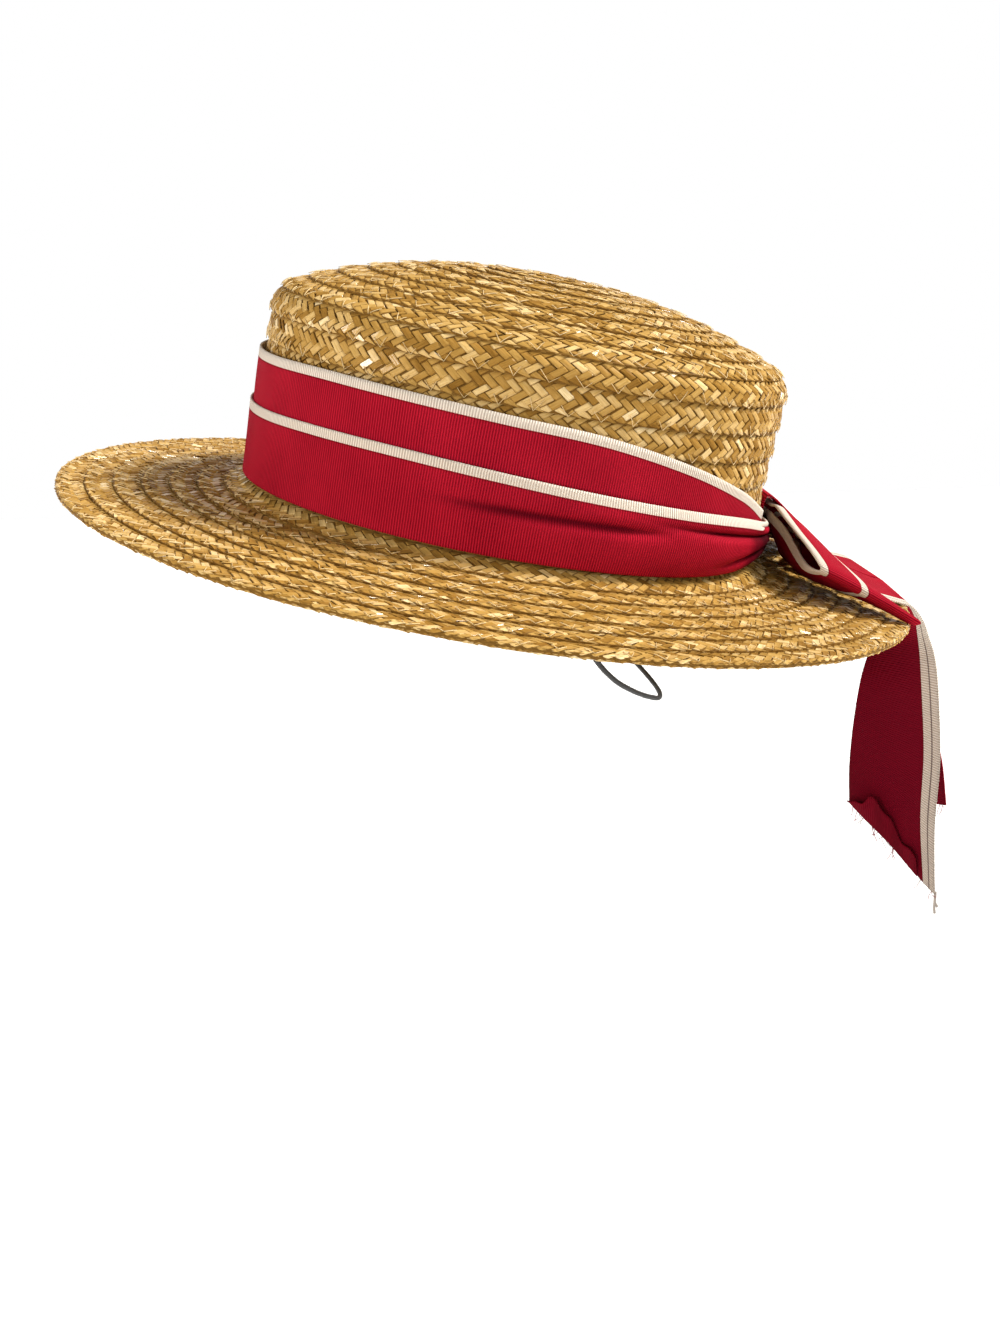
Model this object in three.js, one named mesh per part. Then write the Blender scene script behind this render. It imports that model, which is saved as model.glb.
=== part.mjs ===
// Straw boater hat with a two tier grosgrain band, a flat bow with two tails at the back and
// a thin elastic. Millimetres. In the hat's own frame X points to the wearer's left, Y to the
// back and Z up, with the origin at the middle of the head opening. The finished hat leans back
// by LEAN about X, as it sits on a head, so that the tails hang along -Z.

import * as THREE from 'three';
import { mergeVertices } from 'three/addons/utils/BufferGeometryUtils.js';

// Straw
const CROWN_LENGTH = 198.4;       // outside the side wall at its foot, front to back
const CROWN_WIDTH = 167.6;        // outside the side wall at its foot, left to right
const SIDE_HEIGHT = 63.5;         // side wall below the round edge
const SIDE_LEAN = 1.3;            // its front and back lean out by this, and its sides lean in
const EDGE_RADIUS = 12;           // round edge between side and tip
const EDGE_TURN = 65;             // degrees that the round edge turns before the tip starts
const TIP_RISE = 17.7;            // from the end of the round edge to the middle of the tip
const BRIM_WIDTH = 68.6;          // from the side wall to the brim's edge
const BRIM_FORWARD = 2.3;         // how far the brim's outline sits ahead of the crown
const BRIM_DROOP = 5.3;           // fall of the brim outside the turn
const BRIM_TILT = 1.9;            // extra fall at the front, and rise at the back
const TURN_DEPTH = 3.4;           // depth of the turn where the crown meets the brim
const TURN_REACH = 4.5;           // how fast that turn flattens out
const STRAW = 2;                  // plait thickness
const EDGE_ROLL = 0.3;            // extra thickness of the doubled row at the brim's edge
const PLAIT_ROW = 10.4;           // visible width of one row of plait
const ROW_STEP = 0.9;             // height of each row's raised edge

// Ribbon
const RIBBON = 1;                 // ribbon thickness
const BAND_HEIGHT = 49.6;         // top of the upper band at its highest
const BAND_LAP = 7;               // how far the upper band runs down behind the lower one
const GATHER_DEPTH = 2;           // depth of the gathers beside the bow
const GATHER_START = 60;          // degrees from the back where the gathers begin
const GATHERS = 2;                // gathers over the height of the lower band

// Bow
const LOOP_REACH = 62;            // from the middle of the bow to the fold of each loop
const RIGHT_SHARE = 0.96;         // size of the right loop beside the left one
const BOW_TOP = 23.2;             // top of the bow above the crown's foot
const KNOT_LENGTH = 15;           // size of the knot along X
const TAIL_WIDTH = 38;
const TAIL_DROP = 129;            // from the crown's foot to the lowest corner of a tail

// Elastic
const ELASTIC = 2;                // diameter

const CLEARANCE = 0.3;            // gap between neighbouring pieces
const LEAN = 11;                  // degrees that the hat leans back
const AROUND = 60;                // divisions around the oval
const BACK_CROWDING = 0.35;       // share by which those divisions crowd towards the back

// Edges of the bands as shares of BAND_HEIGHT, every 20 degrees from the back to the front.
const BAND_EDGES = [
  { away: 0, foot: 0.110, lower: 0.290, upper: 0.375 },
  { away: 20, foot: 0.070, lower: 0.335, upper: 0.425 },
  { away: 40, foot: 0.024, lower: 0.430, upper: 0.630 },
  { away: 60, foot: 0.012, lower: 0.495, upper: 0.815 },
  { away: 80, foot: 0.012, lower: 0.550, upper: 0.940 },
  { away: 100, foot: 0.012, lower: 0.595, upper: 0.980 },
  { away: 120, foot: 0.012, lower: 0.617, upper: 1.000 },
  { away: 140, foot: 0.012, lower: 0.607, upper: 1.000 },
  { away: 160, foot: 0.012, lower: 0.578, upper: 0.972 },
  { away: 180, foot: 0.012, lower: 0.565, upper: 0.960 },
];

// The ring of the knot, seen from the side. Out is the distance behind the crown as a share of
// BRIM_WIDTH, and up is the height above the crown's foot as a share of BOW_TOP.
const KNOT_RING = [
  { out: 0.064, up: 1.000 }, { out: 0.187, up: 0.802 }, { out: 0.296, up: 0.560 },
  { out: 0.372, up: 0.290 }, { out: 0.395, up: 0.140 }, { out: 0.346, up: 0.060 },
  { out: 0.210, up: 0.300 }, { out: 0.110, up: 0.510 }, { out: 0.055, up: 0.680 },
];

// The two edges of the left loop, from inside the knot along its upper layer, round the fold
// and back along its lower layer. The inner edge is the one beside the crown. X is a share of
// LOOP_REACH, and out and up are measured as for the knot.
const LOOP = [
  { innerX: 0.02, innerOut: 0.089, innerUp: 0.860, outerX: 0.02, outerOut: 0.331, outerUp: 0.298 },
  { innerX: 0.13, innerOut: 0.089, innerUp: 0.868, outerX: 0.13, outerOut: 0.335, outerUp: 0.289 },
  { innerX: 0.26, innerOut: 0.093, innerUp: 0.876, outerX: 0.27, outerOut: 0.410, outerUp: 0.203 },
  { innerX: 0.45, innerOut: 0.137, innerUp: 0.724, outerX: 0.47, outerOut: 0.504, outerUp: 0.082 },
  { innerX: 0.60, innerOut: 0.171, innerUp: 0.578, outerX: 0.63, outerOut: 0.583, outerUp: -0.026 },
  { innerX: 0.77, innerOut: 0.212, innerUp: 0.427, outerX: 0.82, outerOut: 0.682, outerUp: -0.130 },
  { innerX: 0.93, innerOut: 0.246, innerUp: 0.306, outerX: 0.98, outerOut: 0.776, outerUp: -0.194 },
  { innerX: 0.96, innerOut: 0.252, innerUp: 0.241, outerX: 1.02, outerOut: 0.806, outerUp: -0.240 },
  { innerX: 0.93, innerOut: 0.244, innerUp: 0.177, outerX: 0.98, outerOut: 0.772, outerUp: -0.272 },
  { innerX: 0.84, innerOut: 0.219, innerUp: 0.120, outerX: 0.87, outerOut: 0.710, outerUp: -0.243 },
  { innerX: 0.73, innerOut: 0.186, innerUp: 0.128, outerX: 0.74, outerOut: 0.641, outerUp: -0.185 },
  { innerX: 0.58, innerOut: 0.145, innerUp: 0.216, outerX: 0.58, outerOut: 0.560, outerUp: -0.091 },
  { innerX: 0.36, innerOut: 0.098, innerUp: 0.440, outerX: 0.37, outerOut: 0.453, outerUp: 0.052 },
  { innerX: 0.13, innerOut: 0.086, innerUp: 0.668, outerX: 0.13, outerOut: 0.324, outerUp: 0.245 },
  { innerX: 0.02, innerOut: 0.086, innerUp: 0.684, outerX: 0.02, outerOut: 0.318, outerUp: 0.256 },
];

// The two edges of each tail from the knot to its end. X is a share of TAIL_WIDTH, out is
// measured as for the knot, and drop is the fall below the crown's foot as a share of TAIL_DROP.
const LEFT_TAIL = [
  { outerX: 0.20, outerOut: 0.325, outerDrop: 0.008, innerX: 0.01, innerOut: 0.318, innerDrop: 0.007 },
  { outerX: 0.53, outerOut: 0.442, outerDrop: 0.012, innerX: -0.05, innerOut: 0.464, innerDrop: -0.002 },
  { outerX: 0.79, outerOut: 0.566, outerDrop: 0.023, innerX: -0.13, innerOut: 0.609, innerDrop: 0.012 },
  { outerX: 0.86, outerOut: 0.740, outerDrop: 0.036, innerX: -0.17, innerOut: 0.770, innerDrop: 0.030 },
  { outerX: 0.83, outerOut: 0.886, outerDrop: 0.046, innerX: -0.17, innerOut: 0.886, innerDrop: 0.043 },
  { outerX: 0.82, outerOut: 0.957, outerDrop: 0.055, innerX: -0.17, innerOut: 0.974, innerDrop: 0.050 },
  { outerX: 0.82, outerOut: 1.035, outerDrop: 0.090, innerX: -0.15, innerOut: 1.015, innerDrop: 0.095 },
  { outerX: 0.82, outerOut: 1.100, outerDrop: 0.140, innerX: -0.06, innerOut: 0.997, innerDrop: 0.175 },
  { outerX: 0.82, outerOut: 1.180, outerDrop: 0.212, innerX: 0.12, innerOut: 0.940, innerDrop: 0.260 },
  { outerX: 0.82, outerOut: 1.270, outerDrop: 0.340, innerX: 0.26, innerOut: 0.895, innerDrop: 0.350 },
  { outerX: 0.82, outerOut: 1.385, outerDrop: 0.540, innerX: 0.28, innerOut: 0.918, innerDrop: 0.500 },
  { outerX: 0.82, outerOut: 1.475, outerDrop: 0.770, innerX: 0.27, innerOut: 0.970, innerDrop: 0.650 },
  { outerX: 0.82, outerOut: 1.600, outerDrop: 1.000, innerX: 0.26, innerOut: 1.035, innerDrop: 0.775 },
];
const RIGHT_TAIL = [
  { outerX: -0.20, outerOut: 0.325, outerDrop: 0.008, innerX: -0.03, innerOut: 0.318, innerDrop: 0.007 },
  { outerX: -0.58, outerOut: 0.442, outerDrop: 0.012, innerX: -0.10, innerOut: 0.464, innerDrop: -0.002 },
  { outerX: -0.92, outerOut: 0.566, outerDrop: 0.023, innerX: -0.19, innerOut: 0.609, innerDrop: 0.012 },
  { outerX: -1.16, outerOut: 0.719, outerDrop: 0.037, innerX: -0.23, innerOut: 0.770, innerDrop: 0.030 },
  { outerX: -1.22, outerOut: 0.824, outerDrop: 0.043, innerX: -0.23, innerOut: 0.886, innerDrop: 0.043 },
  { outerX: -1.22, outerOut: 0.892, outerDrop: 0.051, innerX: -0.24, innerOut: 0.974, innerDrop: 0.050 },
  { outerX: -1.21, outerOut: 0.965, outerDrop: 0.085, innerX: -0.24, innerOut: 1.045, innerDrop: 0.090 },
  { outerX: -1.19, outerOut: 1.050, outerDrop: 0.165, innerX: -0.27, innerOut: 1.140, innerDrop: 0.150 },
  { outerX: -1.16, outerOut: 1.120, outerDrop: 0.270, innerX: -0.30, innerOut: 1.270, innerDrop: 0.240 },
  { outerX: -1.13, outerOut: 1.180, outerDrop: 0.400, innerX: -0.33, innerOut: 1.440, innerDrop: 0.370 },
  { outerX: -1.13, outerOut: 1.250, outerDrop: 0.560, innerX: -0.35, innerOut: 1.590, innerDrop: 0.510 },
  { outerX: -1.13, outerOut: 1.380, outerDrop: 0.740, innerX: -0.36, innerOut: 1.740, innerDrop: 0.660 },
  { outerX: -1.14, outerOut: 1.500, outerDrop: 0.900, innerX: -0.37, innerOut: 1.855, innerDrop: 0.815 },
];

// Half of the elastic's route, from inside the crown at the wearer's left round to the back.
const ELASTIC_ROUTE = [
  [77.8, 15, 9], [78.0, 16, -3], [77.4, 21, -19], [74.0, 31, -33], [66, 42, -43],
  [52, 54, -51], [35, 66, -58], [18, 75, -63], [0, 78.5, -65],
];

const radians = THREE.MathUtils.degToRad;
const degrees = THREE.MathUtils.radToDeg;
const mix = THREE.MathUtils.lerp;
const clamp = THREE.MathUtils.clamp;
const MEAN_RADIUS = (CROWN_LENGTH + CROWN_WIDTH) / 4;
const OVAL = (CROWN_LENGTH - CROWN_WIDTH) / 4;
const BRIM_RADIUS = MEAN_RADIUS + BRIM_WIDTH;
const CROWN_BACK = CROWN_LENGTH / 2;

// A point of the oval hat: radius as if the hat were round, angle from the back towards the
// wearer's left, height. Outside the side wall the oval keeps a constant distance, and inside
// it closes in evenly to the middle of the tip. It gets longer towards the top of the side.
function onOval(radius, angle, height) {
  const lean = SIDE_LEAN * clamp(height / SIDE_HEIGHT, 0, 1);
  const stretch = (OVAL + lean) * Math.min(1, radius / MEAN_RADIUS);
  const forward = BRIM_FORWARD * Math.max(0, (radius - MEAN_RADIUS) / BRIM_WIDTH);
  const x = (radius - stretch) * Math.sin(angle);
  const y = (radius + stretch) * Math.cos(angle) - forward;
  const tilt = BRIM_TILT * Math.cos(angle) * Math.max(0, (radius - MEAN_RADIUS) / BRIM_WIDTH);
  return new THREE.Vector3(x, y, height + tilt);
}

// Only positions are kept, shared corners are merged, and triangles without area are dropped.
function closeUp(geometry) {
  const bare = new THREE.BufferGeometry();
  bare.setAttribute('position', geometry.getAttribute('position'));
  bare.setIndex(geometry.getIndex());
  const merged = mergeVertices(bare, 1e-4);
  const index = merged.getIndex().array;
  const kept = [];
  for (let i = 0; i < index.length; i += 3) {
    const [a, b, c] = [index[i], index[i + 1], index[i + 2]];
    if (a !== b && b !== c && c !== a) kept.push(a, b, c);
  }
  merged.setIndex(kept);
  merged.computeVertexNormals();
  return merged;
}

// Moves every vertex of a geometry to place(x, y, z).
function reshape(geometry, place) {
  const position = geometry.getAttribute('position');
  for (let i = 0; i < position.count; i += 1) {
    const target = place(position.getX(i), position.getY(i), position.getZ(i));
    position.setXYZ(i, target.x, target.y, target.z);
  }
  return closeUp(geometry);
}

// The angle of a turned vertex. The divisions crowd towards the back, where the bow is.
function backAngle(x, z) {
  const angle = Math.atan2(-x, z);
  return angle - BACK_CROWDING * Math.sin(angle);
}

// A ring turned from a profile of [radius, height] pairs, then made oval. Each profile runs
// upwards along the outside, so that the faces point out.
function ovalShell(profile) {
  const points = profile.map(([radius, height]) => new THREE.Vector2(radius, height));
  const lathe = new THREE.LatheGeometry(points, AROUND);
  return reshape(lathe, (x, y, z) => onOval(Math.hypot(x, z), backAngle(x, z), y));
}

// Crown: side wall, round edge, and a tip that rises ever more gently to its middle.
const edgeTurn = radians(EDGE_TURN);
const TIP_RADIUS = MEAN_RADIUS - EDGE_RADIUS * (1 - Math.cos(edgeTurn));
const TIP_FOOT = SIDE_HEIGHT + EDGE_RADIUS * Math.sin(edgeTurn);
const TIP_POWER = TIP_RADIUS / (Math.tan(edgeTurn) * TIP_RISE);

function crownCurve() {
  const steps = { side: 12, edge: 12, tip: 60 };
  const curve = [];
  for (let i = 0; i < steps.side; i += 1) {
    curve.push(new THREE.Vector2(MEAN_RADIUS, SIDE_HEIGHT * i / steps.side));
  }
  for (let i = 0; i < steps.edge; i += 1) {
    const angle = edgeTurn * i / steps.edge;
    const radius = MEAN_RADIUS - EDGE_RADIUS * (1 - Math.cos(angle));
    curve.push(new THREE.Vector2(radius, SIDE_HEIGHT + EDGE_RADIUS * Math.sin(angle)));
  }
  for (let i = 0; i <= steps.tip; i += 1) {
    const share = 1 - i / steps.tip;
    const height = TIP_FOOT + TIP_RISE * (1 - share ** TIP_POWER);
    curve.push(new THREE.Vector2(TIP_RADIUS * share, height));
  }
  return new THREE.SplineCurve(curve);
}

// A curve's point at a share of its length, moved inwards by a depth.
function inwards(curve, share, depth) {
  const point = curve.getPointAt(share);
  const along = curve.getTangentAt(share);
  return [Math.max(0, point.x - along.y * depth), point.y + along.x * depth];
}

// Each row of plait starts flush and ends a step lower, under the raised edge of the next.
function makeCrown() {
  const curve = crownCurve();
  const rows = Math.round(curve.getLength() / PLAIT_ROW);
  const rowEnd = 0.97;
  const profile = [];
  for (let row = 0; row < rows - 1; row += 1) {
    profile.push(inwards(curve, row / rows, 0));
    profile.push(inwards(curve, (row + rowEnd) / rows, ROW_STEP));
  }
  profile.push(inwards(curve, (rows - 1) / rows, 0));
  profile.push([0, TIP_FOOT + TIP_RISE]);
  const insideShares = [0.85, 0.7, 0.58, 0.5, 0.45, 0.41, 0];
  const inner = insideShares.map((share) => inwards(curve, share, STRAW + ROW_STEP));
  profile.push([0, TIP_FOOT + TIP_RISE - STRAW - ROW_STEP], ...inner, profile[0]);
  return ovalShell(profile);
}

// Brim: a short turn below the crown, then an even fall to the edge.
function brimHeight(reach) {
  return -TURN_DEPTH * (1 - Math.exp(-reach / TURN_REACH)) - BRIM_DROOP * reach / BRIM_WIDTH;
}

function makeBrim() {
  const rows = Math.round(BRIM_WIDTH / PLAIT_ROW);
  const rowEnd = 0.97;
  const inner = MEAN_RADIUS - STRAW - ROW_STEP;
  const top = [[inner, -ROW_STEP - CLEARANCE]];
  for (let row = 0; row < rows; row += 1) {
    const start = BRIM_WIDTH * row / rows;
    const end = row === rows - 1 ? BRIM_WIDTH : BRIM_WIDTH * (row + rowEnd) / rows;
    top.push([MEAN_RADIUS + start, brimHeight(start) - ROW_STEP - CLEARANCE]);
    if (row === 0) top.push([MEAN_RADIUS + TURN_REACH, brimHeight(TURN_REACH) - CLEARANCE]);
    top.push([MEAN_RADIUS + end, brimHeight(end) - CLEARANCE]);
  }
  const edge = BRIM_WIDTH * (rows - 1) / rows;
  const under = [0, TURN_REACH, 3 * TURN_REACH, edge, edge + 1, BRIM_WIDTH].map((reach) => {
    const roll = reach > edge ? EDGE_ROLL : 0;
    return [MEAN_RADIUS + reach, brimHeight(reach) - STRAW - ROW_STEP - roll];
  });
  under[0][0] = inner;
  return ovalShell([...under, ...top.reverse(), under[0]]);
}

// Bands: rings of ribbon whose edges follow the table and gather up behind the knot.
function bandEdge(key) {
  const heights = BAND_EDGES.map((row) => new THREE.Vector2(row.away, row[key] * BAND_HEIGHT));
  const curve = new THREE.SplineCurve(heights);
  return (angle) => curve.getPoint(Math.min(1, Math.abs(angle) / Math.PI)).y;
}

const bandFoot = bandEdge('foot');
const lowerTop = bandEdge('lower');
const upperTop = bandEdge('upper');
const upperFoot = (angle) => Math.max(bandFoot(angle) + CLEARANCE, lowerTop(angle) - BAND_LAP);
const UPPER_INSIDE = MEAN_RADIUS + CLEARANCE;
const LOWER_INSIDE = UPPER_INSIDE + RIBBON + CLEARANCE;

function makeBand(inner, foot, top, across, folds) {
  const core = 10;
  const profile = [];
  for (let i = 0; i <= across; i += 1) profile.push(new THREE.Vector2(core + RIBBON, i / across));
  for (let i = across; i >= 0; i -= 1) profile.push(new THREE.Vector2(core, i / across));
  profile.push(profile[0]);
  const lathe = new THREE.LatheGeometry(profile, AROUND);
  return reshape(lathe, (x, share, z) => {
    const angle = backAngle(x, z);
    const height = mix(foot(angle), top(angle), share);
    const gathered = 1 - clamp(Math.abs(degrees(angle)) / GATHER_START, 0, 1);
    const ripple = (1 - Math.cos(2 * Math.PI * folds * share)) / 2;
    const out = GATHER_DEPTH * gathered * ripple + Math.hypot(x, z) - core;
    const point = onOval(inner, angle, height);
    return point.add(new THREE.Vector3(Math.sin(angle), Math.cos(angle), 0).multiplyScalar(out));
  });
}

// A ribbon solid: a flat box bent onto a sheet. sheet(u, v) gives the middle of the ribbon at
// share u of its length and share v of its width.
function makeRibbon(sheet, along, across) {
  const box = new THREE.BoxGeometry(1, 1, RIBBON, along, across, 1);
  const step = 1e-3;
  return reshape(box, (x, y, z) => {
    const [u, v] = [x + 0.5, y + 0.5];
    const du = sheet(u + step, v).sub(sheet(u - step, v));
    const dv = sheet(u, v + step).sub(sheet(u, v - step));
    return sheet(u, v).addScaledVector(du.cross(dv).normalize(), z);
  });
}

// Loose ribbon whose two edges are smooth curves through points. Past its ends it goes straight on.
function ribbonBetween(outerEdge, innerEdge) {
  const [outer, inner] = [outerEdge, innerEdge].map((points) => new THREE.CatmullRomCurve3(points));
  return (u, v) => {
    const share = clamp(u, 0, 1);
    const point = outer.getPoint(share).lerp(inner.getPoint(share), v);
    return point.addScaledVector(outer.getTangent(share), u - share);
  };
}

const behindCrown = (share) => CROWN_BACK + share * BRIM_WIDTH;

// Knot: a ribbon wound round the middle of the bow.
function makeKnot() {
  const corners = KNOT_RING.map(({ out, up }) => new THREE.Vector3(behindCrown(out), up * BOW_TOP, 0));
  const ring = new THREE.CatmullRomCurve3(corners, true);
  const outline = ring.getSpacedPoints(26).slice(0, -1);
  const inline = outline.map((point, i) => {
    const along = ring.getTangentAt(i / 26);
    return new THREE.Vector2(point.x + along.y * RIBBON, point.y - along.x * RIBBON);
  });
  const section = new THREE.Shape(outline.map(({ x, y }) => new THREE.Vector2(x, y)));
  section.holes.push(new THREE.Path(inline.reverse()));
  const options = { depth: KNOT_LENGTH, bevelEnabled: false };
  const extruded = new THREE.ExtrudeGeometry(section, options);
  return reshape(extruded, (y, z, x) => new THREE.Vector3(x - KNOT_LENGTH / 2, y, z));
}

// Loops: ribbon that leaves the knot, folds over and comes back below. Side is 1 for the left.
function loopSheet(side, share) {
  const edge = (key) => LOOP.map((row) => new THREE.Vector3(
    side * share * row[`${key}X`] * LOOP_REACH,
    behindCrown(mix(LOOP[0][`${key}Out`], row[`${key}Out`], share)),
    row[`${key}Up`] * BOW_TOP,
  ));
  return ribbonBetween(edge('outer'), edge('inner'));
}

// Tails: ribbon that lies on the brim, bends over its edge and hangs.
function tailSheet(rows) {
  const edge = (key) => rows.map((row) => new THREE.Vector3(
    row[`${key}X`] * TAIL_WIDTH,
    behindCrown(row[`${key}Out`]),
    -row[`${key}Drop`] * TAIL_DROP,
  ));
  return ribbonBetween(edge('outer'), edge('inner'));
}

// Elastic: one loop from inside the crown on the left, round the back, to the right.
function makeElastic() {
  const left = ELASTIC_ROUTE.map(([x, y, z]) => new THREE.Vector3(x, y, z));
  const right = left.slice(0, -1).reverse().map((point) => new THREE.Vector3(-point.x, point.y, point.z));
  const route = new THREE.CatmullRomCurve3([...left, ...right]);
  const section = new THREE.Shape(new THREE.EllipseCurve(0, 0, ELASTIC / 2, ELASTIC / 2).getPoints(8));
  const steps = Math.round(route.getLength() / (2.9 * ELASTIC));
  return closeUp(new THREE.ExtrudeGeometry(section, { steps, extrudePath: route }));
}

const part = new THREE.Group();
const hat = new THREE.Group();
hat.rotation.x = -radians(LEAN);
part.add(hat);

function addPiece(name, geometry, color, roughness) {
  const material = new THREE.MeshStandardMaterial({ color, roughness, metalness: 0 });
  const mesh = new THREE.Mesh(geometry, material);
  mesh.name = name;
  hat.add(mesh);
}

const STRAW_GOLD = 0xc99b57;
const RIBBON_RED = 0xa5162b;
const ELASTIC_BLACK = 0x161616;

addPiece('crown', makeCrown(), STRAW_GOLD, 0.45);
addPiece('brim', makeBrim(), STRAW_GOLD, 0.45);
addPiece('band_upper', makeBand(UPPER_INSIDE, upperFoot, upperTop, 2, 0), RIBBON_RED, 0.7);
addPiece('band_lower', makeBand(LOWER_INSIDE, bandFoot, lowerTop, 4, GATHERS), RIBBON_RED, 0.7);
addPiece('bow_knot', makeKnot(), RIBBON_RED, 0.7);
addPiece('bow_loop_left', makeRibbon(loopSheet(1, 1), 28, 3), RIBBON_RED, 0.7);
addPiece('bow_loop_right', makeRibbon(loopSheet(-1, RIGHT_SHARE), 28, 3), RIBBON_RED, 0.7);
addPiece('tail_left', makeRibbon(tailSheet(LEFT_TAIL), 24, 3), RIBBON_RED, 0.7);
addPiece('tail_right', makeRibbon(tailSheet(RIGHT_TAIL), 24, 3), RIBBON_RED, 0.7);
addPiece('chin_elastic', makeElastic(), ELASTIC_BLACK, 0.6);

export default part;
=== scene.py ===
# %% [markdown]
# # A straw boater hat
# This lesson dresses the plain solids of a boater in straw and ribbon. The frame brings those
# solids in. We keep the box that they fill.

# %% Open the frame
import math
import bpy
import numpy as np
from mathutils import Matrix


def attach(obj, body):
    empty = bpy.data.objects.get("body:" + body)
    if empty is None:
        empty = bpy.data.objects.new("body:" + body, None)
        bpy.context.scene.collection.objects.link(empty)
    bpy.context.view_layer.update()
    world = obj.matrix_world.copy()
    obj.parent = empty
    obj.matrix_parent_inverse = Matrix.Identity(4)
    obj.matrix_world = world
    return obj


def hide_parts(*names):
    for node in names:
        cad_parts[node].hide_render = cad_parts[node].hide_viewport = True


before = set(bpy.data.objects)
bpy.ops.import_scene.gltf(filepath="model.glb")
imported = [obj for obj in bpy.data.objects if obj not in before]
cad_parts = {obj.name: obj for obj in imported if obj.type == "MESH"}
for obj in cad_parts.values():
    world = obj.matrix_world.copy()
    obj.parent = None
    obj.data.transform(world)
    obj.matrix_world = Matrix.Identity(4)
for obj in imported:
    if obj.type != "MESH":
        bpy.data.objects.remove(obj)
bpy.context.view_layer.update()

# %% [markdown]
# ## Two frames
# A hat is easiest to describe standing level: X to the wearer's left, Y to the back, Z up, and
# the origin in the middle of the head opening, all in millimetres. The finished hat leans back
# on the head. So we work level, and one function leans every point and turns it into metres.

# %% From the level hat to the scene
LEAN = math.radians(11)


def to_scene(level):
    """Turns points about X by the lean, and divides them by 1000."""
    level = np.asarray(level, float)
    x, y, z = level[..., 0], level[..., 1], level[..., 2]
    leaned = np.stack([x, y * math.cos(LEAN) + z * math.sin(LEAN),
                       z * math.cos(LEAN) - y * math.sin(LEAN)], -1)
    return leaned / 1000


print("a point 100 mm behind the origin lies at", to_scene([0, 100, 0]))

# %% [markdown]
# ## The camera
# We look at the wearer's left side, from a little above, with a lens of about 40 mm. The camera
# is rolled a little, so its three directions are written out instead of two angles.

# %% Place the camera


def stand(holder, across, up, back, place):
    """Cameras and lamps look along their own -Z, so their Z points back."""
    turned = np.eye(4)
    turned[:3] = np.stack([across, up, back, place], -1)
    holder.matrix_world = Matrix(turned.tolist())


forward = np.array([-0.9408, 0.1049, -0.3224])
above = np.array([-0.3193, 0.0450, 0.9466])
forward /= np.linalg.norm(forward)
side = np.cross(forward, above)
side /= np.linalg.norm(side)
above = np.cross(side, forward)
lens = bpy.data.cameras.new("viewpoint")
lens.sensor_width = 36
lens.lens = 40.5
camera = bpy.data.objects.new("viewpoint", lens)
bpy.context.collection.objects.link(camera)
stand(camera, side, above, -forward, (0.5798, -0.0661, 0.1326))
bpy.context.scene.camera = camera
bpy.context.scene.view_settings.view_transform = "Standard"
print("the camera stands at", tuple(round(v, 3) for v in camera.matrix_world.translation))

# %% [markdown]
# ## Meshes from arrays
# Every piece below ends as an array of points and arrays of faces. This helper hands them to
# Blender in one go, with a UV map and any number of values per point for the materials to read.

# %% A piece from arrays


def add_piece(name, node, slot, level, faces, finish, uv=None, uv_faces=None, values=None,
              smooth=True):
    """Makes a mesh from points on the level hat; each face array has one row per face.

    The piece takes the place of the solid called node; slot is not used."""
    points = to_scene(level)
    corners = np.concatenate([np.asarray(f).ravel() for f in faces]).astype(np.int32)
    sizes = np.concatenate([np.full(len(f), np.shape(f)[1]) for f in faces])
    mesh = bpy.data.meshes.new(name)
    mesh.vertices.add(len(points))
    mesh.vertices.foreach_set("co", points.astype(np.float32).ravel())
    mesh.loops.add(len(corners))
    mesh.loops.foreach_set("vertex_index", corners)
    mesh.polygons.add(len(sizes))
    starts = np.concatenate([[0], np.cumsum(sizes)[:-1]]).astype(np.int32)
    mesh.polygons.foreach_set("loop_start", starts)
    mesh.polygons.foreach_set("use_smooth", np.full(len(sizes), smooth))
    if uv is not None:
        picked = corners if uv_faces is None else np.concatenate(
            [np.asarray(f).ravel() for f in uv_faces])
        layer = mesh.uv_layers.new(name="flat")
        layer.data.foreach_set("uv", uv[picked].astype(np.float32).ravel())
    for key, numbers in (values or {}).items():
        mesh.attributes.new(key, "FLOAT", "POINT").data.foreach_set(
            "value", numbers.astype(np.float32))
    mesh.update(calc_edges=True)
    mesh.validate()
    mesh.materials.append(finish)
    piece = bpy.data.objects.new(name, mesh)
    bpy.context.collection.objects.link(piece)
    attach(piece, "root")
    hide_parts(node)
    count = int((sizes - 2).sum())
    print(f"{name}: {len(points)} points, {count} triangles")
    return piece


# %% [markdown]
# ## Shader sums
# A material is a chain of nodes. Writing the sums as Python keeps the chain readable: a Wire is
# one socket that can be added, multiplied and compared, and each sum adds its Math node.

# %% Wires and finishes


class Wire:
    """One output socket, with arithmetic that adds Math nodes."""

    def __init__(self, finish, socket):
        self.finish, self.socket = finish, socket

    def maths(self, operation, *others):
        inputs = dict(enumerate([self, *others]))
        return self.finish.node("ShaderNodeMath", {"operation": operation}, inputs)

    def __add__(self, other): return self.maths("ADD", other)
    def __sub__(self, other): return self.maths("SUBTRACT", other)
    def __mul__(self, other): return self.maths("MULTIPLY", other)
    def __rsub__(self, other): return self.maths("MULTIPLY", -1).maths("ADD", other)
    __radd__ = __add__

    def rise(self, low, high):
        """0 below low and 1 above high, with a smooth step between them."""
        return self.finish.node("ShaderNodeMapRange", {"interpolation_type": "SMOOTHSTEP"},
                                {"Value": self, "From Min": low, "From Max": high})


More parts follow.
